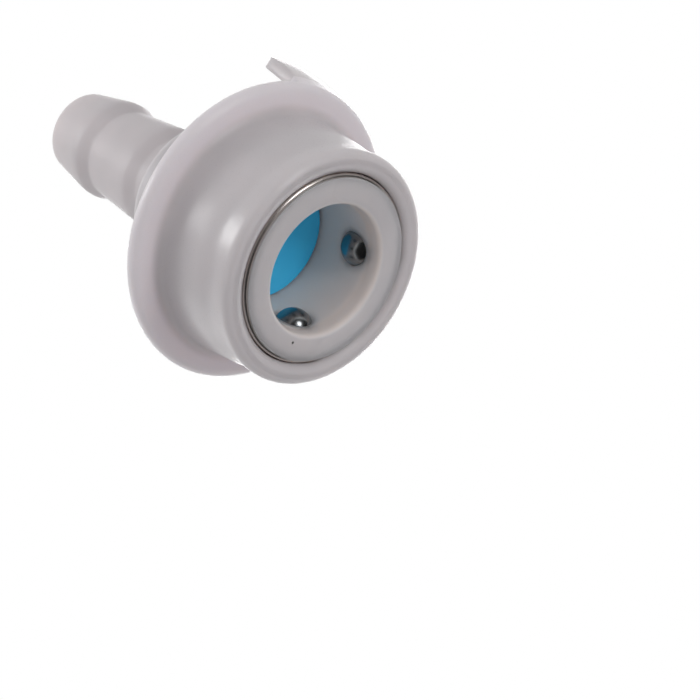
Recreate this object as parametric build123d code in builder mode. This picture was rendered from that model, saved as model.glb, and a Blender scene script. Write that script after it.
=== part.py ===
"""Plastic quick disconnect coupling: ball-lock socket with a hose tail and a shut-off valve.

All sizes are in millimetres. The part stands on its mouth: z = 0 is the mouth face,
+Z runs along the axis towards the hose, and the thumb tab is on the -X side.
"""
import os
from math import atan2, degrees, radians, sqrt, tan

from build123d import *

os.makedirs("parts", exist_ok=True)

# ------------------------------------------------------------------ driving sizes
# fits and gaps
run_gap = 0.08           # radial clearance of a plastic sliding fit
ball_gap = 0.03          # clearance all round a ball
seat_gap = 0.03          # clearance between parts that rest on each other

# socket body
bore_r = 9.1             # bore that takes the nose of the plug
entry_step = 0.2         # the bore's entry is this much wider
entry_h = 2.2            # and ends below the ball holes
mouth_round = 0.45       # rounded lip of the entry
body_wall = 3.92
face_step = 0.12         # edge of the end face, inside the tube's outside
spring_room = 1.48       # from the tube to the edge of the shoulder ring
ring_z = 14.6            # underside of the shoulder ring
ring_h = 3.93
ring_round = 0.5
valve_z = 12.4           # depth of the valve's front face
seat_depth = 1.5         # the bore opens into the valve seat this far above it
seat_rise = 1.3          # height, and width, of the 45 degree seat
cup_wall = 3.27          # of the shoulder ring, round the cup for the hose tail
gasket_t = 0.7

# lock balls
balls = 4
ball_angle = 58.0        # first ball, measured from +X
ball_r = 5.556 / 2       # 7/32 in stainless ball
ball_z = 5.3
ball_stand = 1.56        # how far a locked ball stands into the bore
plug_gap = 0.1           # a freed ball leaves this much less than the bore

# retaining ring, wound from round wire
wire_r = 0.44
turn_gap = 0.02          # between its two turns
joggle = 24.0            # degrees that the wire takes to climb from one to the other
ring_start = 285.0       # where the wire begins
groove_depth = 0.56
groove_z = 0.38

# lock sleeve
stroke = 2.4             # pull that frees the plug
nest_gap = 0.23          # between the retaining ring and the recess it nests in
dish_h = 0.6             # the mouth is dished down to the ring's recess
dish_slope = 38.0
lip_wall, lip_z = 2.92, 1.6
waist_wall, waist_z = 2.76, 3.4
skirt_low_wall, skirt_low_z = 2.3, 6.9
skirt_wall = 2.85        # where the skirt meets the flange
land_top = 8.3           # seat of the sleeve spring
flange_z = 13.66
flange_t = 2.3
flange_reach = 4.0
lip_round = 1.0
inner_lip_round = 1.2
edge_round = 1.1
flange_foot_round = 1.3

# thumb tab
tab_w = 16.0
tab_h = 7.44             # above the flange
tab_stand = 0.75         # how far its outer face stands past the flange, a little above it
tab_stand_h = 2.2
tab_lean = 0.5           # how much further out its tip is
tab_tip_t = 1.3
tab_root_t = 1.9
tab_sink = 1.9           # its root runs this far into the flange
tab_bury = 0.45          # and starts this far inside the flange's edge
tab_corner = 1.8
tab_brow_round = 0.6

# key between sleeve and body
key_angle = 195.0
key_w = 3.7
key_rise = 0.4
key_gap = 0.15
key_h = 0.9

# hose tail, for hose of 1/2 in inside diameter
collar_step = 0.42       # the collar is this much wider than the cup it sits on
collar_h = 9.92
collar_round = 0.8
tail_bore_r = 4.75
tail_top = 57.9
tip_r = 6.2
tip_h = 7.6              # cone from the upper lip to the tip
barb_r = 7.5             # both barb lips
barb_band = 1.1          # straight band under each lip
barb_round = 0.35
barb_undercut = 2.1      # slope under the upper barb
root_undercut = 2.2      # and under the lower one
barb_pitch = 12.1
neck_r = 6.75            # root above the lower barb
root_r = 6.95            # root below the lower barb
foot_r = 7.58
foot_round = 0.5
tip_round = 0.5
tip_chamfer = 0.3
chamber_wall = 1.03      # of the spigot, round the room for the valve
chamber_roof = 2.65
funnel_h = 2.2

# valve
poppet_gap = 0.2         # front disc in the bore
poppet_back_gap = 0.3
poppet_flange_t = 1.0
poppet_chamfer = 0.25
stem_r = 1.7
stem_chamfer = 0.4
stem_stand = 0.1         # the stem's tip past its guide
pilot_gap = 0.45         # inside the valve spring
pilot_h = 1.6
seal_section = 0.9       # radius of the seal's section
seal_inset = 0.55        # of its mid circle, inside the bore's radius
groove_slack = 0.03
guide_t = 2.2
guide_rim = 1.6
guide_hub_r = 3.4
guide_arms = 3
guide_arm_w = 1.8

# coil springs
sleeve_wire = 0.84
sleeve_turns = 2.7
valve_wire = 0.8
valve_turns = 4.0
valve_coil_r = 4.95

# ------------------------------------------------------------------ derived sizes
# across
entry_r = bore_r + entry_step
body_r = bore_r + body_wall
face_r = body_r - face_step
ring_r = body_r + spring_room
cup_r = ring_r - cup_wall
groove_r = body_r - groove_depth
land_r = body_r + run_gap
sleeve_bore_r = ring_r + run_gap
recess_r = groove_r + seat_gap + 2 * wire_r + nest_gap
dish_r = recess_r + dish_h / tan(radians(dish_slope))
lip_r = recess_r + lip_wall
waist_r = recess_r + waist_wall
skirt_low_r = ring_r + skirt_low_wall
skirt_r = ring_r + skirt_wall
flange_r = skirt_r + flange_reach
tab_out = flange_r + tab_stand + tab_lean
spigot_r = cup_r - seat_gap
chamber_r = spigot_r - chamber_wall + seat_gap
collar_r = cup_r + collar_step
ball_rest_r = bore_r - ball_stand + ball_r
ball_travel = ball_stand - plug_gap
ball_room_r = ball_r + ball_gap
ramp_length = sqrt(ball_travel**2 + stroke**2)
seal_mid_r = bore_r - seal_inset
pilot_r = valve_coil_r - valve_wire / 2 - pilot_gap

# along the axis
groove_h = 4 * wire_r + turn_gap + 2 * seat_gap
shoulder_z = groove_z + groove_h + seat_gap
ring_top = ring_z + ring_h
seat_z = valve_z + seat_depth
cup_z = seat_z + seat_rise
gasket_top = cup_z + gasket_t
flange_top = flange_z + flange_t
tab_top = flange_top + tab_h
collar_top = ring_top + collar_h
chamber_top = collar_top - chamber_roof
high_barb_z = tail_top - tip_h - barb_band
neck_z = high_barb_z - barb_undercut
low_barb_z = high_barb_z - barb_pitch
root_z = low_barb_z - root_undercut
seal_z = seat_z - (bore_r - seal_mid_r) + (seal_section + seat_gap) * sqrt(2)
seal_groove_z = seal_z - seal_section - groove_slack
seal_groove_top = seal_z + seal_section + groove_slack
poppet_top = seal_groove_top + poppet_flange_t
guide_z = chamber_top - guide_t
stem_top = chamber_top + stem_stand


# ------------------------------------------------------------------ hose tail
with BuildPart() as hose_tail:
    with BuildSketch(Plane.XZ):
        with BuildLine():
            Polyline(
                (tail_bore_r, tail_top),
                (tip_r, tail_top),
                (barb_r, high_barb_z + barb_band),
                (barb_r, high_barb_z),
                (neck_r, neck_z),
                (barb_r, low_barb_z + barb_band),
                (barb_r, low_barb_z),
                (root_r, root_z),
                (foot_r, collar_top),
                (collar_r, collar_top),
                (collar_r, ring_top),
                (spigot_r, ring_top),
                (spigot_r, gasket_top),
                (chamber_r, gasket_top),
                (chamber_r, chamber_top),
                (tail_bore_r + funnel_h, chamber_top),
                (tail_bore_r, chamber_top + funnel_h),
                close=True,
            )
        make_face()
    revolve(axis=Axis.Z)
    rims = hose_tail.edges().filter_by(GeomType.CIRCLE)
    fillet(rims.filter_by(lambda e: abs(e.radius - collar_r) < 0.01 and e.center().Z > ring_top + 1),
           collar_round)
    rims = hose_tail.edges().filter_by(GeomType.CIRCLE)
    fillet(rims.filter_by(lambda e: abs(e.radius - barb_r) < 0.01), barb_round)
    rims = hose_tail.edges().filter_by(GeomType.CIRCLE)
    fillet(rims.filter_by(lambda e: abs(e.radius - tip_r) < 0.01 and e.center().Z > tail_top - 0.01), tip_round)
    rims = hose_tail.edges().filter_by(GeomType.CIRCLE)
    chamfer(rims.filter_by(lambda e: abs(e.radius - tail_bore_r) < 0.01 and e.center().Z > tail_top - 1), tip_chamfer)
    rims = hose_tail.edges().filter_by(GeomType.CIRCLE)
    fillet(rims.filter_by(lambda e: abs(e.radius - foot_r) < 0.01), foot_round)
hose_tail.part.label = "hose_tail"

# ------------------------------------------------------------------ socket body
with BuildPart() as socket_body:
    with BuildSketch(Plane.XZ):
        with BuildLine():
            Polyline(
                (entry_r, 0),
                (face_r, 0),
                (face_r, groove_z),
                (groove_r, groove_z),
                (groove_r, groove_z + groove_h),
                (body_r, groove_z + groove_h),
                (body_r, ring_z),
                (ring_r, ring_z),
                (ring_r, ring_top),
                (cup_r, ring_top),
                (cup_r, cup_z),
                (bore_r + seat_rise, cup_z),
                (bore_r, seat_z),
                (bore_r, entry_h + entry_step),
                (entry_r, entry_h),
                close=True,
            )
        make_face()
    revolve(axis=Axis.Z)
    rims = socket_body.edges().filter_by(GeomType.CIRCLE)
    fillet(rims.filter_by(lambda e: abs(e.radius - ring_r) < 0.01 and e.center().Z > ring_top - 0.01), ring_round)
    rims = socket_body.edges().filter_by(GeomType.CIRCLE)
    fillet(rims.filter_by(lambda e: abs(e.radius - entry_r) < 0.01 and e.center().Z < 0.01), mouth_round)
    # ball holes: a radial bore that ends in a spherical seat, so the ball cannot fall through
    with Locations((0, 0, ball_z)):
        with PolarLocations(ball_rest_r, balls, start_angle=ball_angle):
            Sphere(ball_room_r, mode=Mode.SUBTRACT)
            Cylinder(ball_room_r, body_r, rotation=(0, 90, 0),
                     align=(Align.CENTER, Align.CENTER, Align.MIN), mode=Mode.SUBTRACT)
    # key that keeps the sleeve and its ball ramps in line
    with Locations((0, 0, ring_z)):
        with PolarLocations(ring_r - 1, 1, start_angle=key_angle):
            Box(1 + key_rise, key_w, key_h, align=(Align.MIN, Align.CENTER, Align.MIN))
socket_body.part.label = "socket_body"

# ------------------------------------------------------------------ thumb tab, moulded with the sleeve
# a wall that bends up out of the flange's edge and follows its round, leaning outwards to the tip
with BuildPart() as thumb_tab:
    with BuildSketch(Plane.XZ) as wall:
        with BuildLine():
            outer = Spline(
                (-flange_r + tab_bury, flange_top - tab_sink),
                (-flange_r - tab_stand, flange_top + tab_stand_h),
                (-tab_out, tab_top),
            )
            Polyline(
                outer @ 1,
                (-tab_out + tab_tip_t, tab_top),
                (-flange_r - tab_stand + tab_root_t, flange_top),
                (-flange_r - tab_stand + tab_root_t, flange_top - tab_sink),
                outer @ 0,
            )
        make_face()
        brow = wall.vertices().group_by(Axis.Y)[-1].sort_by(Axis.X)
        fillet(brow[0], tab_brow_round)
        brow = wall.vertices().group_by(Axis.Y)[-1].sort_by(Axis.X)
        fillet(brow[-1], tab_tip_t - tab_brow_round - 0.1)
    revolve(axis=Axis.Z)
    with BuildSketch(Plane.YZ.offset(-tab_out - 1)) as front_view:
        with Locations((0, tab_top)):
            Rectangle(tab_w, 2 * tab_w, align=(Align.CENTER, Align.MAX))
        fillet(front_view.vertices().group_by(Axis.Y)[-1], tab_corner)
    extrude(amount=tab_out, mode=Mode.INTERSECT)

# ------------------------------------------------------------------ room for a ball on its ramp
# a rod with round ends: it starts round the locked ball and ends round the freed one
with BuildPart() as ball_ramp:
    with BuildSketch(Plane.XZ):
        with BuildLine():
            Line((-ball_room_r, 0), (ramp_length + ball_room_r, 0))
            CenterArc((ramp_length, 0), ball_room_r, 0, 90)
            Line((ramp_length, ball_room_r), (0, ball_room_r))
            CenterArc((0, 0), ball_room_r, 90, 90)
        make_face()
    revolve(axis=Axis.X)

# ------------------------------------------------------------------ lock sleeve
with BuildPart() as lock_sleeve:
    # skirt: straight above, drawn in to a waist, with a rolled lip round the mouth;
    # inside, from below: the ring's recess, the land that holds the balls, the spring chamber
    with BuildSketch(Plane.XZ):
        with BuildLine():
            flank = Line((skirt_r, flange_z), (skirt_low_r, skirt_low_z))
            roll = Spline(flank @ 1, (waist_r, waist_z), (lip_r, lip_z), tangents=(flank % 1, (0, -1)))
            Polyline(
                roll @ 1,
                (lip_r, 0),
                (dish_r, 0),
                (recess_r, dish_h),
                (recess_r, shoulder_z),
                (land_r, shoulder_z),
                (land_r, land_top),
                (sleeve_bore_r, land_top),
                (sleeve_bore_r, flange_top),
                (flange_r, flange_top),
                (flange_r, flange_z),
                flank @ 0,
            )
        make_face()
    revolve(axis=Axis.Z)
    rims = lock_sleeve.edges().filter_by(GeomType.CIRCLE)
    fillet(rims.filter_by(lambda e: abs(e.radius - flange_r) < 0.01), edge_round)
    rims = lock_sleeve.edges().filter_by(GeomType.CIRCLE)
    fillet(rims.filter_by(lambda e: abs(e.radius - skirt_r) < 0.01), flange_foot_round)
    add(thumb_tab.part)
    # ball ramps in the land, and the keyway
    with Locations((0, 0, ball_z)):
        with PolarLocations(ball_rest_r, balls, start_angle=ball_angle):
            add(ball_ramp.part, rotation=(0, degrees(atan2(stroke, ball_travel)), 0), mode=Mode.SUBTRACT)
    with Locations((0, 0, land_top)):
        with PolarLocations(sleeve_bore_r - 1, 1, start_angle=key_angle):
            Box(1 - run_gap + key_rise + key_gap, key_w + 2 * key_gap, flange_top,
                align=(Align.MIN, Align.CENTER, Align.MIN), mode=Mode.SUBTRACT)
    rims = lock_sleeve.edges().filter_by(GeomType.CIRCLE)
    fillet(rims.filter_by(lambda e: abs(e.radius - lip_r) < 0.02 and e.center().Z < 0.01), lip_round)
    rims = lock_sleeve.edges().filter_by(GeomType.CIRCLE)
    fillet(rims.filter_by(lambda e: abs(e.radius - dish_r) < 0.02 and e.center().Z < 0.01), inner_lip_round)
lock_sleeve.part.label = "lock_sleeve"

# ------------------------------------------------------------------ retaining ring
# two turns of round wire, one on the other, with a short joggle between them
ring_mid_r = groove_r + seat_gap + wire_r
turn_1_z = groove_z + seat_gap + wire_r
turn_2_z = turn_1_z + 2 * wire_r + turn_gap
with BuildPart() as retaining_ring:
    with BuildLine():
        low = CenterArc((0, 0, turn_1_z), ring_mid_r, ring_start, 360 - joggle)
        high = CenterArc((0, 0, turn_2_z), ring_mid_r, ring_start, 360 - joggle)
        Spline(low @ 1, high @ 0, tangents=(low % 1, high % 0))
    with BuildSketch(Plane(origin=low @ 0, z_dir=low % 0)):
        Circle(wire_r)
    sweep()
retaining_ring.part.label = "retaining_ring"

# ------------------------------------------------------------------ lock balls
ball_parts = []
for i in range(balls):
    with BuildPart() as lock_ball:
        with Locations((0, 0, ball_z)):
            with PolarLocations(ball_rest_r, 1, start_angle=ball_angle + i * 360 / balls):
                Sphere(ball_r)
    lock_ball.part.label = f"lock_ball_{i + 1}"
    ball_parts.append(lock_ball.part)

# ------------------------------------------------------------------ sleeve spring
sleeve_coil_r = (body_r + sleeve_bore_r) / 2
with BuildPart() as sleeve_spring:
    with BuildLine(Plane.XY.offset(land_top + seat_gap + sleeve_wire / 2)):
        rise = ring_z - land_top - 2 * seat_gap - sleeve_wire
        coil = Helix(pitch=rise / sleeve_turns, height=rise, radius=sleeve_coil_r)
    with BuildSketch(Plane(origin=coil @ 0, z_dir=coil % 0)):
        Circle(sleeve_wire / 2)
    sweep(is_frenet=True)
sleeve_spring.part.label = "sleeve_spring"

# ------------------------------------------------------------------ valve poppet
with BuildPart() as valve_poppet:
    with BuildSketch(Plane.XZ):
        with BuildLine():
            Polyline(
                (0, valve_z),
                (bore_r - poppet_gap, valve_z),
                (bore_r - poppet_gap, seal_groove_z),
                (seal_mid_r - seal_section, seal_groove_z),
                (seal_mid_r - seal_section, seal_groove_top),
                (bore_r - poppet_back_gap, seal_groove_top),
                (bore_r - poppet_back_gap, poppet_top),
                (pilot_r, poppet_top),
                (pilot_r, poppet_top + pilot_h),
                (stem_r, poppet_top + pilot_h),
                (stem_r, stem_top),
                (0, stem_top),
                close=True,
            )
        make_face()
    revolve(axis=Axis.Z)
    rims = valve_poppet.edges().filter_by(GeomType.CIRCLE)
    chamfer(rims.filter_by(lambda e: e.center().Z < valve_z + 0.01), poppet_chamfer)
    rims = valve_poppet.edges().filter_by(GeomType.CIRCLE)
    chamfer(rims.filter_by(lambda e: e.center().Z > stem_top - 0.01), stem_chamfer)
valve_poppet.part.label = "valve_poppet"

with BuildPart() as valve_seal:
    with Locations((0, 0, seal_z)):
        Torus(seal_mid_r, seal_section)
valve_seal.part.label = "valve_seal"

# ------------------------------------------------------------------ valve spring and its guide
with BuildPart() as valve_spring:
    with BuildLine(Plane.XY.offset(poppet_top + seat_gap + valve_wire / 2)):
        rise = guide_z - poppet_top - 2 * seat_gap - valve_wire
        coil = Helix(pitch=rise / valve_turns, height=rise, radius=valve_coil_r)
    with BuildSketch(Plane(origin=coil @ 0, z_dir=coil % 0)):
        Circle(valve_wire / 2)
    sweep(is_frenet=True)
valve_spring.part.label = "valve_spring"

with BuildPart() as valve_guide:
    with BuildSketch(Plane.XY.offset(guide_z)):
        Circle(chamber_r - seat_gap)
        Circle(chamber_r - seat_gap - guide_rim, mode=Mode.SUBTRACT)
        Circle(guide_hub_r)
        with PolarLocations(chamber_r / 2, guide_arms):
            Rectangle(chamber_r - guide_rim, guide_arm_w)
        Circle(stem_r + run_gap, mode=Mode.SUBTRACT)
    extrude(amount=guide_t)
valve_guide.part.label = "valve_guide"

# ------------------------------------------------------------------ tail gasket
with BuildPart() as tail_gasket:
    with BuildSketch(Plane.XY.offset(cup_z)):
        Circle(cup_r - seat_gap)
        Circle(bore_r + seat_rise, mode=Mode.SUBTRACT)
    extrude(amount=gasket_t)
tail_gasket.part.label = "tail_gasket"

# ------------------------------------------------------------------ export
pieces = [hose_tail.part, socket_body.part, lock_sleeve.part, retaining_ring.part, sleeve_spring.part,
          valve_poppet.part, valve_seal.part, valve_spring.part, valve_guide.part, tail_gasket.part]
for piece in pieces + ball_parts:
    export_step(piece, f"parts/{piece.label}.step")
    print(piece.label, round(piece.volume, 2), piece.bounding_box())
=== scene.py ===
# %% [markdown]
# # A quick disconnect socket for tubing
#
# The object is the socket half of a plastic quick disconnect. A barbed tail at the top takes
# the hose. A flanged sleeve round the outside is pulled back by its thumb tab. Steel balls in
# the wall of the bore lock the plug, and a blue valve shuts the flow when the plug is out.
#
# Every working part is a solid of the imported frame, exact to a few hundredths of a millimetre.
# So this lesson builds hardly any shapes. It is about materials: how a milky plastic, a
# drawn wire, a polished ball and a moulded rubber are told apart by eye.

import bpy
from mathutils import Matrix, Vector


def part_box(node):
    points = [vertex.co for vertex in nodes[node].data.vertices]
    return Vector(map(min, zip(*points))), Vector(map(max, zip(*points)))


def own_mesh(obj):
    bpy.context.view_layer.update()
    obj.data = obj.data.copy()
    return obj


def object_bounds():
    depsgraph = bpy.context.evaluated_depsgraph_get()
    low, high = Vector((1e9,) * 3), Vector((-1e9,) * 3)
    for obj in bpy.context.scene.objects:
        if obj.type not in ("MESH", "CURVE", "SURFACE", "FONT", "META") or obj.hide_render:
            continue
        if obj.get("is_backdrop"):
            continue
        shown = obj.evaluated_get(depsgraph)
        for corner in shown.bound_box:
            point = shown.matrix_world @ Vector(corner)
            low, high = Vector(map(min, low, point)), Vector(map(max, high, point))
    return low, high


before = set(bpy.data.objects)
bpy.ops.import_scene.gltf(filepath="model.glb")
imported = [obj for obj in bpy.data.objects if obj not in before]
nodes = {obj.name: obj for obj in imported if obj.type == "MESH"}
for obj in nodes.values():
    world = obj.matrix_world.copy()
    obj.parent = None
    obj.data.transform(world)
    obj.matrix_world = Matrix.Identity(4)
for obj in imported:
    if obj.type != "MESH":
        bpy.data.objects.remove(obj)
cad_low, cad_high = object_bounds()
print("pieces:", len(nodes), "size in mm:", [round(1000 * v, 1) for v in cad_high - cad_low])

# %% [markdown]
# ## Units, colours and nodes
#
# The frame is in metres, and a moulder thinks in millimetres, so one name carries the factor.
# Colours are written as the hex values of a colour picker. Blender mixes light in linear
# values, so one function converts them. A small function adds a shader node with its settings
# and links, which keeps each material short enough to read.

# %% Units, colours and nodes
import math

import bpy
from mathutils import Matrix, Vector

MM = 0.001


def linear(code):
    """A hex colour such as "#c8c4c8" as linear red, green, blue and alpha."""
    channels = [int(code[i:i + 2], 16) / 255 for i in (1, 3, 5)]
    return [c / 12.92 if c <= 0.04045 else ((c + 0.055) / 1.055) ** 2.4 for c in channels] + [1.0]


def node(tree, kind, inputs=None, **settings):
    """Adds a shader node. inputs maps a socket to a value, or to the output that feeds it."""
    made = tree.nodes.new("ShaderNode" + kind)
    for name, value in settings.items():
        setattr(made, name, value)
    for socket, value in (inputs or {}).items():
        if isinstance(value, bpy.types.NodeSocket):
            tree.links.new(value, made.inputs[socket])
        else:
            made.inputs[socket].default_value = value
    return made


def new_material(name):
    """An empty material, its node tree and its output node."""
    made = bpy.data.materials.new(name)
    made.use_nodes = True
    made.node_tree.nodes.clear()
    return made, made.node_tree, node(made.node_tree, "OutputMaterial")


def dress(node_name, material):
    """Gives a solid of the frame its finish."""
    mesh = nodes[node_name].data
    mesh.materials.clear()
    mesh.materials.append(material)


print("a mid grey in linear values:", round(linear("#808080")[0], 3))

# %% [markdown]
# ## Natural polypropylene
#
# The body, the sleeve, the tail and the valve guide are injection moulded polypropylene with no
# pigment. It is milky: light enters, scatters for a few millimetres and comes out again, so thin
# edges look brighter than thick walls and shadows are soft. It could be a plain grey diffuse, but
# that looks like painted clay. Subsurface scattering gives the depth.
#
# Three things break up the surface. Flow in the mould leaves faint clouds some 8 mm wide, a
# touch warmer and cooler in turn. The wall is never quite flat, so highlights waver. And the
# mould itself is spark-eroded, which prints a fine satin grain. The real grain is near 0.05 mm.
# It is drawn at 0.18 mm here, because a finer one would not show.
#
# A moulding of this plastic also has no sharp edge to the eye, because light leaks round it. The
# edges could be cut round in the solid, but a Bevel node turns the surface's normal near an edge
# instead, which softens the shading and leaves the shape exact.

# %% Natural polypropylene
FLOW_CLOUD = 8 * MM
WALL_WAVE, WAVE_HEIGHT = 3 * MM, 0.05 * MM
MOULD_GRAIN, GRAIN_HEIGHT = 0.18 * MM, 0.012 * MM
LIGHT_DEPTH = 3 * MM
SATIN_SPREAD = 0.05
POLYPROPYLENE_IOR = 1.49
NO_HEIGHT_LIMIT = 1.0


def natural_polypropylene(name, cool, warm, paler, paler_from, paler_to, satin=0.4,
                          soft_edge=0.3 * MM, paler_below=NO_HEIGHT_LIMIT):
    """Milky plastic of two near colours. It turns to the colour paler as the distance from the axis goes
    from paler_from to paler_to, below one height; that paler colour is painted light where it stands in
    for light let in through a wall, and a plain tone where it does not. Returns the material, its node
    tree and its shader."""
    made, tree, output = new_material(name)
    place = node(tree, "TexCoord").outputs["Object"]
    cloud = node(tree, "TexNoise", {"Vector": place, "Scale": 1 / FLOW_CLOUD, "Detail": 2.0})
    spread = node(tree, "MapRange", {"Value": cloud.outputs["Fac"], "From Min": 0.35, "From Max": 0.65})
    clouded = node(tree, "Mix", {0: spread.outputs[0], 6: linear(cool), 7: linear(warm)},
                   data_type="RGBA")
    flat = node(tree, "VectorMath", {0: place, 1: (1, 1, 0)}, operation="MULTIPLY")
    radius = node(tree, "VectorMath", {0: flat.outputs[0]}, operation="LENGTH")
    # Painted light: this zone paints the sleeve's thin flange and the body's bore paler, in place of the
    # light that comes through their walls; on the tail it only gives the collar its cooler tone.
    glow_and_tone_zone = node(tree, "MapRange", {"Value": radius.outputs["Value"], "From Min": paler_from,
                                   "From Max": paler_to}, interpolation_type="SMOOTHSTEP")
    height = node(tree, "SeparateXYZ", {0: place}).outputs["Z"]
    low_down = node(tree, "Math", {0: height, 1: paler_below}, operation="LESS_THAN")
    glow_and_tone_mask = node(tree, "Math", {0: glow_and_tone_zone.outputs[0], 1: low_down.outputs[0]},
                        operation="MULTIPLY")
    colour = node(tree, "Mix", {0: glow_and_tone_mask.outputs[0], 6: clouded.outputs[2],
                                7: linear(paler)}, data_type="RGBA")
    wave = node(tree, "TexNoise", {"Vector": place, "Scale": 1 / WALL_WAVE, "Detail": 1.0})
    grain = node(tree, "TexNoise", {"Vector": place, "Scale": 1 / MOULD_GRAIN, "Detail": 3.0})
    rounded = node(tree, "Bevel", {"Radius": soft_edge}, samples=6)
    wavy = node(tree, "Bump", {"Height": wave.outputs["Fac"], "Strength": 0.5,
                               "Distance": WAVE_HEIGHT, "Normal": rounded.outputs[0]})
    grained = node(tree, "Bump", {"Height": grain.outputs["Fac"], "Strength": 0.12,
                                  "Distance": GRAIN_HEIGHT, "Normal": wavy.outputs["Normal"]})
    dull = node(tree, "MapRange", {"Value": grain.outputs["Fac"], "To Min": satin - SATIN_SPREAD,
                                   "To Max": satin + SATIN_SPREAD})
    shader = node(tree, "BsdfPrincipled", {
        "Base Color": colour.outputs[2], "Roughness": dull.outputs[0], "IOR": POLYPROPYLENE_IOR,
        "Subsurface Weight": 0.8, "Subsurface Scale": LIGHT_DEPTH,
        "Subsurface Radius": (1.0, 0.95, 0.9), "Normal": grained.outputs["Normal"]})
    tree.links.new(shader.outputs[0], output.inputs["Surface"])
    return made, tree, shader


print("light runs", round(LIGHT_DEPTH / MM, 1), "mm deep, grain", round(MOULD_GRAIN / MM, 2), "mm")

# %% [markdown]
# ## The milky pieces
#
# One plastic, but the moulds differ. The sleeve is rubbed smooth by hands. Its flange is thin and lets
# light through from behind, and that light is painted in as a paler colour: painted light. The thumb tab
# stands above the flange and is thicker, so the painted paler zone stops below it. The body's bore is
# painted paler and a touch warmer, as painted light that stands in for the light that its wall lets in,
# and its mouth has the softest roundings. The tail is the dullest, and its collar is a trace cooler than
# its barb. One painted colour could do for all, but then the pieces would run together where they meet.

# %% The milky pieces
# Painted light: the paler colour on the flange, from 17.3 mm out and below 16.5 mm, stands in for light
# through the thin flange.
sleeve_plastic, _, _ = natural_polypropylene(
    "natural_polypropylene_sleeve", "#d3cecf", "#d7d1d2", "#e6e0e3", 17.3 * MM, 19.0 * MM,
    satin=0.29, soft_edge=1.5 * MM, paler_below=16.5 * MM)
# Painted light: the paler, warmer colour inside 9.8 mm stands in for light that reaches the bore through
# its wall.
body_plastic, body_tree, body_shader = natural_polypropylene(
    "natural_polypropylene_body", "#d9d4d5", "#ddd7d7", "#ecdfd8", 9.8 * MM, 9.2 * MM,
    soft_edge=2.0 * MM)
tail_plastic, _, _ = natural_polypropylene(
    "natural_polypropylene_tail", "#d2cccd", "#d8d1d2", "#d1cdcf", 9.0 * MM, 11.0 * MM,
    satin=0.5, soft_edge=1.2 * MM)
milky = {"lock_sleeve": sleeve_plastic, "socket_body": body_plastic,
         "hose_tail": tail_plastic, "valve_guide": tail_plastic}
for name, plastic in milky.items():
    dress(name, plastic)
print("polypropylene on", list(milky))

# %% [markdown]
# ## A dark dot in the end face
#
# A dark dot sits in the end face, a third of a millimetre across. It could be a tiny disc laid on the
# face, but a colour that starts at a distance from a point is flush with the surface.

# %% A dark dot in the end face
DARK_DOT_RADIUS = 0.18 * MM
DARK_DOT_AT = Vector((10.42, -1.45, 0.0)) * MM

# A dark colour painted within a small distance of one point on the end face.
place = node(body_tree, "TexCoord").outputs["Object"]
away = node(body_tree, "VectorMath", {0: place, 1: DARK_DOT_AT}, operation="DISTANCE")
dark_dot = node(body_tree, "Math", {0: away.outputs["Value"], 1: DARK_DOT_RADIUS}, operation="LESS_THAN")
plain_colour = body_shader.inputs["Base Color"].links[0].from_socket
marked = node(body_tree, "Mix", {0: dark_dot.outputs[0], 6: plain_colour, 7: linear("#2a2725")},
              data_type="RGBA")
body_tree.links.new(marked.outputs[2], body_shader.inputs["Base Color"])
print("dark_dot", round(2 * DARK_DOT_RADIUS / MM, 2), "mm across")

# %% [markdown]
# ## Blue moulded plastic
#
# The valve is the one coloured piece, so that a user sees at a glance which socket it is. It is
# moulded in the same plastic, pigmented through: no depth, a fuller colour, and a smoother face
# than the tail, because the plug pushes on it. The same milky finish could be tinted, but the
# pigment stops the light at the skin, so a plain pigmented surface is truer. Flow from a gate in
# the middle leaves one or two wide, faint rings. Blender's wave pattern runs through 20 radians
# for each unit of length, and the scale is worked out from that. The grain is drawn at 0.15 mm,
# coarser than it is, so that it shows.

# %% Blue moulded plastic
FLOW_RING = 13.82 * MM
RADIANS_PER_UNIT = 20
PIGMENT_CLOUD = 5 * MM
BLUE_GRAIN, BLUE_GRAIN_HEIGHT = 0.15 * MM, 0.01 * MM

blue_plastic, tree, output = new_material("blue_polypropylene_moulded")
place = node(tree, "TexCoord").outputs["Object"]
rings = node(tree, "TexWave", {"Vector": place, "Scale": 2 * math.pi / (RADIANS_PER_UNIT * FLOW_RING),
                               "Distortion": 3.0, "Detail": 2.0}, wave_type="RINGS", rings_direction="Z")
cloud = node(tree, "TexNoise", {"Vector": place, "Scale": 1 / PIGMENT_CLOUD, "Detail": 2.0})
flow = node(tree, "Math", {0: rings.outputs["Fac"], 1: cloud.outputs["Fac"]}, operation="MULTIPLY")
colour = node(tree, "Mix", {0: flow.outputs[0], 6: linear("#38c1f8"), 7: linear("#46ccfe")},
              data_type="RGBA")
grain = node(tree, "TexNoise", {"Vector": place, "Scale": 1 / BLUE_GRAIN, "Detail": 2.0})
bump = node(tree, "Bump", {"Height": grain.outputs["Fac"], "Strength": 0.15,
                           "Distance": BLUE_GRAIN_HEIGHT})
gloss = node(tree, "MapRange", {"Value": cloud.outputs["Fac"], "To Min": 0.3, "To Max": 0.42})
shader = node(tree, "BsdfPrincipled", {"Base Color": colour.outputs[2], "Roughness": gloss.outputs[0],
                                       "IOR": POLYPROPYLENE_IOR, "Normal": bump.outputs["Normal"]})
tree.links.new(shader.outputs[0], output.inputs["Surface"])
dress("valve_poppet", blue_plastic)
print("blue on the valve, flow rings", round(FLOW_RING / MM, 1), "mm apart")

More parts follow.
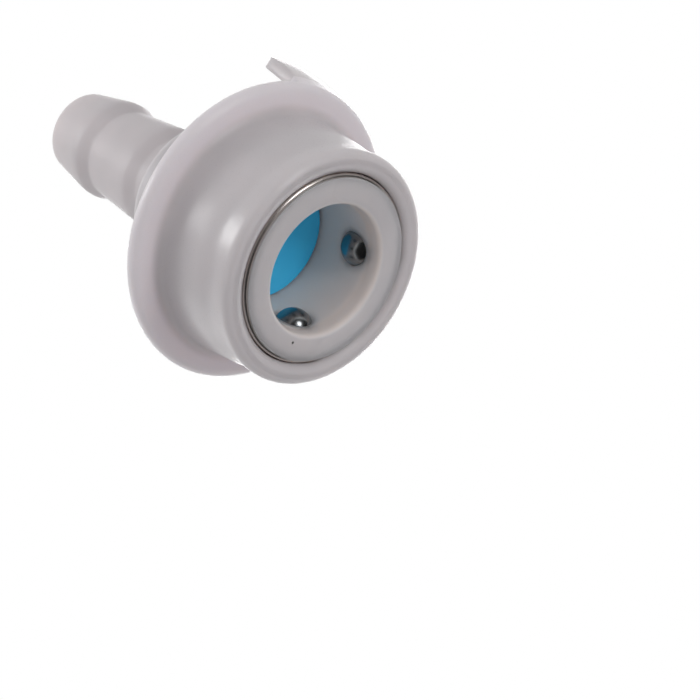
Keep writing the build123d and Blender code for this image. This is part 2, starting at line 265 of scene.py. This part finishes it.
# %% [markdown]
# ## Stainless spring wire
#
# The retaining ring and both springs are wound from hard-drawn stainless wire. The die that
# draws it leaves fine lines along its length, so it shines across the wire and is dull along
# it. An anisotropic shader could stretch the highlight, but it would draw no lines. The lines
# have to run round the coil, and a noise that knows only x, y and z can't do that. So the place
# is first turned into an angle, a radius and a height, and the noise is stretched along the
# angle. Real die lines are far finer. They are drawn at 0.06 mm, to show.

# %% Stainless spring wire
DIE_LINE, LINE_DEPTH = 0.06 * MM, 0.01 * MM
LINE_LENGTH = 3 * MM
WATER_STAIN = 2 * MM


def spring_wire(name, coil_radius):
    """Drawn stainless wire wound to this radius about the Z axis."""
    made, tree, output = new_material(name)
    place = node(tree, "TexCoord").outputs["Object"]
    split = node(tree, "SeparateXYZ", {0: place})
    x, y, z = split.outputs
    turn = node(tree, "Math", {0: y, 1: x}, operation="ARCTAN2")
    run = node(tree, "Math", {0: turn.outputs[0], 1: coil_radius / LINE_LENGTH}, operation="MULTIPLY")
    flat = node(tree, "CombineXYZ", {0: x, 1: y})
    radius = node(tree, "VectorMath", {0: flat.outputs[0]}, operation="LENGTH")
    across = node(tree, "Math", {0: radius.outputs["Value"], 1: 1 / DIE_LINE}, operation="MULTIPLY")
    up = node(tree, "Math", {0: z, 1: 1 / DIE_LINE}, operation="MULTIPLY")
    along = node(tree, "CombineXYZ", {0: run.outputs[0], 1: across.outputs[0], 2: up.outputs[0]})
    lines = node(tree, "TexNoise", {"Vector": along.outputs[0], "Scale": 1.0, "Detail": 3.0})
    stain = node(tree, "TexNoise", {"Vector": place, "Scale": 1 / WATER_STAIN, "Detail": 2.0})
    colour = node(tree, "Mix", {0: stain.outputs["Fac"], 6: linear("#d6cec9"), 7: linear("#ece5e0")},
                  data_type="RGBA")
    dull = node(tree, "MapRange", {"Value": lines.outputs["Fac"], "To Min": 0.2, "To Max": 0.42})
    bump = node(tree, "Bump", {"Height": lines.outputs["Fac"], "Strength": 0.3,
                               "Distance": LINE_DEPTH})
    shader = node(tree, "BsdfPrincipled", {"Base Color": colour.outputs[2], "Metallic": 1.0,
                                           "Roughness": dull.outputs[0], "Normal": bump.outputs["Normal"]})
    tree.links.new(shader.outputs[0], output.inputs["Surface"])
    return made


for name in ("retaining_ring", "sleeve_spring", "valve_spring"):
    low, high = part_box(name)
    outside = (high[0] - low[0]) / 2
    dress(name, spring_wire("stainless_wire_" + name, outside))
    print(name, "wound", round(2 * outside / MM, 1), "mm across")

# %% [markdown]
# ## Polished stainless balls
#
# Bearing balls are lapped close to a mirror. In the bore they show mostly what is round them, so
# they look dark with one bright spot from the lamp. They could be perfect mirrors, but those look
# drawn in. The plug rolls them and leaves a haze that comes and goes over a millimetre, and
# lapping leaves marks too fine to see, which are drawn at 0.12 mm so that the bright spot
# breaks up a little.

# %% Polished stainless balls
LAP_MARK, LAP_DEPTH = 0.12 * MM, 0.01 * MM
HAZE_PATCH = 1.1 * MM

ball_steel, tree, output = new_material("stainless_ball_polished")
place = node(tree, "TexCoord").outputs["Object"]
laps = node(tree, "TexNoise", {"Vector": place, "Scale": 1 / LAP_MARK, "Detail": 3.0})
haze = node(tree, "TexNoise", {"Vector": place, "Scale": 1 / HAZE_PATCH, "Detail": 3.0})
tone = node(tree, "Mix", {0: haze.outputs["Fac"], 6: linear("#85888a"), 7: linear("#999c9e")},
            data_type="RGBA")
dull = node(tree, "MapRange", {"Value": haze.outputs["Fac"], "To Min": 0.2, "To Max": 0.3})
bump = node(tree, "Bump", {"Height": laps.outputs["Fac"], "Strength": 0.2, "Distance": LAP_DEPTH})
shader = node(tree, "BsdfPrincipled", {"Base Color": tone.outputs[2], "Metallic": 1.0,
                                       "Roughness": dull.outputs[0], "Normal": bump.outputs["Normal"]})
tree.links.new(shader.outputs[0], output.inputs["Surface"])
balls = sorted(n for n in nodes if n.startswith("lock_ball"))
for name in balls:
    dress(name, ball_steel)
print(len(balls), "balls polished")

# %% [markdown]
# ## Moulded rubber
#
# The valve's seal and the gasket under the tail are black nitrile rubber. Carbon black makes
# it nearly black, and a bloom of wax gives it a soft grey sheen. A pressed rubber also carries a
# fine pebble from its mould, drawn a little coarse at 0.2 mm. A flat black would read as a hole,
# so the bloom varies both its tone and its roughness.

# %% Moulded rubber
PEBBLE, PEBBLE_HEIGHT = 0.2 * MM, 0.02 * MM
WAX_BLOOM = 3 * MM
RUBBER_IOR = 1.52

seal_rubber, tree, output = new_material("nitrile_rubber_pressed")
place = node(tree, "TexCoord").outputs["Object"]
bloom = node(tree, "TexNoise", {"Vector": place, "Scale": 1 / WAX_BLOOM, "Detail": 4.0})
pebble = node(tree, "TexNoise", {"Vector": place, "Scale": 1 / PEBBLE, "Detail": 2.0})
colour = node(tree, "Mix", {0: bloom.outputs["Fac"], 6: linear("#191919"), 7: linear("#2a2a2b")},
              data_type="RGBA")
matt = node(tree, "MapRange", {"Value": bloom.outputs["Fac"], "To Min": 0.55, "To Max": 0.75})
bump = node(tree, "Bump", {"Height": pebble.outputs["Fac"], "Strength": 0.3,
                           "Distance": PEBBLE_HEIGHT})
shader = node(tree, "BsdfPrincipled", {"Base Color": colour.outputs[2], "Roughness": matt.outputs[0],
                                       "IOR": RUBBER_IOR, "Normal": bump.outputs["Normal"]})
tree.links.new(shader.outputs[0], output.inputs["Surface"])
dress("valve_seal", seal_rubber)
dress("tail_gasket", seal_rubber)
print("rubber pebble", round(PEBBLE / MM, 2), "mm")

# %% [markdown]
# ## Springs with a mesh of their own
#
# Both coils sit between a part that moves and one that stays, and the fixed end is the upper one of both.
# Each spring's height, its room, is measured, and it is given a mesh of its own.

# %% Springs with a mesh of their own
for name, joint in (("sleeve_spring", "sleeve_slide"), ("valve_spring", "valve_slide")):
    low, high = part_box(name)
    room = high[2] - low[2]
    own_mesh(nodes[name])

# %% [markdown]
# ## A floor that is seen from above only
#
# The socket stands on its mouth, and its working side is underneath. A solid table would hide
# it from a camera below. So the floor is a light table: seen from above it is a pale matt
# sheet that takes the socket's shadow, and from below, and for every other ray, it isn't
# there. Far out it turns into plain white, so that no horizon shows.

# %% A floor that is seen from above only
FLOOR_HALF = 3.0
FADE_FROM, FADE_TO = 0.10, 0.45
WHITE = (1, 1, 1, 1)

bpy.ops.mesh.primitive_plane_add(size=2 * FLOOR_HALF)
floor = bpy.context.object
floor.name = "light_table"
opal_glass, tree, output = new_material("opal_glass_sheet")
place = node(tree, "TexCoord").outputs["Object"]
out = node(tree, "VectorMath", {0: place}, operation="LENGTH")
fade = node(tree, "MapRange", {"Value": out.outputs["Value"], "From Min": FADE_FROM,
                               "From Max": FADE_TO}, interpolation_type="SMOOTHSTEP")
matt = node(tree, "BsdfDiffuse", {"Color": linear("#f4f4f5")})
white = node(tree, "Emission", {"Color": WHITE, "Strength": 1.0})
sheet = node(tree, "MixShader", {0: fade.outputs[0], 1: matt.outputs[0], 2: white.outputs[0]})
clear = node(tree, "BsdfTransparent")
underside = node(tree, "NewGeometry").outputs["Backfacing"]
upper = node(tree, "Math", {0: 1.0, 1: underside}, operation="SUBTRACT")
path = node(tree, "LightPath")
seen = node(tree, "Math", {0: path.outputs["Is Camera Ray"], 1: upper.outputs[0]},
            operation="MULTIPLY")
choice = node(tree, "MixShader", {0: seen.outputs[0], 1: clear.outputs[0], 2: sheet.outputs[0]})
tree.links.new(choice.outputs[0], output.inputs["Surface"])
floor.data.materials.append(opal_glass)
floor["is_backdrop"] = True
print("floor", 2 * FLOOR_HALF, "m wide, white beyond", FADE_TO, "m")

# %% [markdown]
# ## Soft light from all round
#
# The room round the object is white to the eye and in reflections. The light that it casts is
# weaker, and weaker still from its two end walls, at plus and minus X. That share is set so
# that a colour renders about as it is written. One white world at full strength would be
# simpler, but it would bleach a pale plastic and leave no shading to read its shape by.

# %% Soft light from all round
AMBIENT = 0.58
END_WALLS = 0.30

world = bpy.data.worlds.new("studio")
bpy.context.scene.world = world
world.use_nodes = True
tree = world.node_tree
tree.nodes.clear()
path = node(tree, "LightPath")
straight = node(tree, "Math", {0: path.outputs["Is Camera Ray"], 1: path.outputs["Is Glossy Ray"]},
                operation="MAXIMUM")
seen = node(tree, "Math", {0: straight.outputs[0], 1: path.outputs["Is Transmission Ray"]},
            operation="MAXIMUM")
along_x = node(tree, "SeparateXYZ", {0: node(tree, "TexCoord").outputs["Generated"]}).outputs["X"]
endward = node(tree, "Math", {0: along_x}, operation="ABSOLUTE")
wall = node(tree, "MapRange", {"Value": endward.outputs[0], "To Min": AMBIENT, "To Max": END_WALLS})
cast = node(tree, "Background", {"Color": linear("#fcfcff"), "Strength": wall.outputs[0]})
shown = node(tree, "Background", {"Color": WHITE, "Strength": 1.0})
room = node(tree, "MixShader", {0: seen.outputs[0], 1: cast.outputs[0], 2: shown.outputs[0]})
node(tree, "OutputWorld", {"Surface": room.outputs[0]})
print("ambient", AMBIENT, "falling to", END_WALLS, "at the end walls")

# %% [markdown]
# ## Four soft boxes
#
# The boxes give the light its shape. A large one behind, high on the -Y side, lights the hose
# tail and the floor, and a weak one on the +X side keeps that side from going grey. Two small
# ones make the highlights: the left box puts the soft one on the skirt, and the mouth box
# looks up into the bore and puts the bright spot on the balls. Each is a square lamp, placed by
# the direction in which it stands from the middle of the object. Point lamps would be simpler,
# but they would leave hard dots on a satin plastic.

# %% Four soft boxes
middle = (cad_low + cad_high) / 2


def soft_box(name, direction, distance, width, watts):
    """A square lamp that stands off in a direction and looks back at the middle of the object."""
    bulb = bpy.data.lights.new(name, "AREA")
    bulb.size = width
    bulb.energy = watts
    lamp = bpy.data.objects.new(name, bulb)
    bpy.context.collection.objects.link(lamp)
    towards = Vector(direction).normalized()
    lamp.location = middle + towards * distance
    lamp.rotation_euler = towards.to_track_quat("Z", "Y").to_euler()
    lamp.visible_camera = False
    print(name, distance, "m away,", watts, "W")


soft_box("back_soft_box", (-0.10, -0.80, 0.58), distance=0.6, width=0.5, watts=2.5)
soft_box("side_soft_box", (0.84, -0.20, 0.50), distance=0.5, width=0.3, watts=0.2)
soft_box("left_soft_box", (0.20, 0.69, 0.74), distance=0.35, width=0.11, watts=0.37)
soft_box("mouth_soft_box", (-0.55, 0.25, -0.79), distance=0.35, width=0.11, watts=0.26)

# %% [markdown]
# ## A black card
#
# A polished ball in a white room reflects white and stops looking like steel. A studio hangs a
# black card where the metal will mirror it. This one lies well below the socket, and only
# reflections see it, so it takes no light from the plastic and hides nothing from the camera.
# It is wool felt, nearly black, with a fleck of pile.

# %% A black card
CARD_SIZE, CARD_DROP = 2.6, 0.5
PILE = 2 * MM

bpy.ops.mesh.primitive_plane_add(size=CARD_SIZE, location=(0, 0, -CARD_DROP))
card = bpy.context.object
card.name = "black_card"
felt, tree, output = new_material("black_wool_felt")
place = node(tree, "TexCoord").outputs["Object"]
pile = node(tree, "TexNoise", {"Vector": place, "Scale": 1 / PILE, "Detail": 3.0})
colour = node(tree, "Mix", {0: pile.outputs["Fac"], 6: linear("#0c0b0b"), 7: linear("#181616")},
              data_type="RGBA")
shade = node(tree, "BsdfDiffuse", {"Color": colour.outputs[2]})
tree.links.new(shade.outputs[0], output.inputs["Surface"])
card.data.materials.append(felt)
for kind_of_ray in ("camera", "diffuse", "transmission", "volume_scatter", "shadow"):
    setattr(card, "visible_" + kind_of_ray, False)
card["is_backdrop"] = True
print("a black card", CARD_SIZE, "m wide,", CARD_DROP, "m below")

# %% [markdown]
# ## The camera
#
# The camera looks up into the mouth from below and is rolled, so that the hose tail points up
# to the left. A long lens keeps the perspective as flat as a catalogue's. The camera is placed
# by the point that it aims at, its distance, its angle below level and its roll, because those
# are the four things that a person at a tripod would change. A look-at constraint could aim
# it, but it would leave the roll to chance.

# %% The camera
AIM = Vector((7.31, -5.28, -5.91)) * MM
DISTANCE = 255.4 * MM
BELOW = math.radians(41.73)
ROLL = math.radians(58.66)
FOCAL_LENGTH, SENSOR_WIDTH = 99.84, 36
CLIP_NEAR, CLIP_FAR = 0.01, 20

lens = bpy.data.cameras.new("camera")
lens.lens = FOCAL_LENGTH
lens.sensor_width = SENSOR_WIDTH
lens.clip_start, lens.clip_end = CLIP_NEAR, CLIP_FAR
camera = bpy.data.objects.new("camera", lens)
bpy.context.collection.objects.link(camera)
back = Vector((0, math.cos(BELOW), -math.sin(BELOW)))
level_right = Vector((0, 0, 1)).cross(back).normalized()
level_up = back.cross(level_right)
up = level_up * math.cos(ROLL) + level_right * math.sin(ROLL)
right = up.cross(back)
camera.location = AIM + back * DISTANCE
axes = [[right[i], up[i], back[i]] for i in range(3)]
camera.rotation_mode = "QUATERNION"
camera.rotation_quaternion = Matrix(axes).to_quaternion()
bpy.context.scene.camera = camera
bpy.context.scene.view_settings.view_transform = "Standard"
print("camera at", [round(v / MM, 1) for v in camera.location], "mm")

# %% [markdown]
# ## The box at the end
#
# Nothing above changes the socket's shape, so its box should come out as it went in. It is printed, to set
# beside the size printed at the start.

# %% The box at the end
low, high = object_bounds()
print("visual size in mm:", [round(1000 * v, 1) for v in high - low])
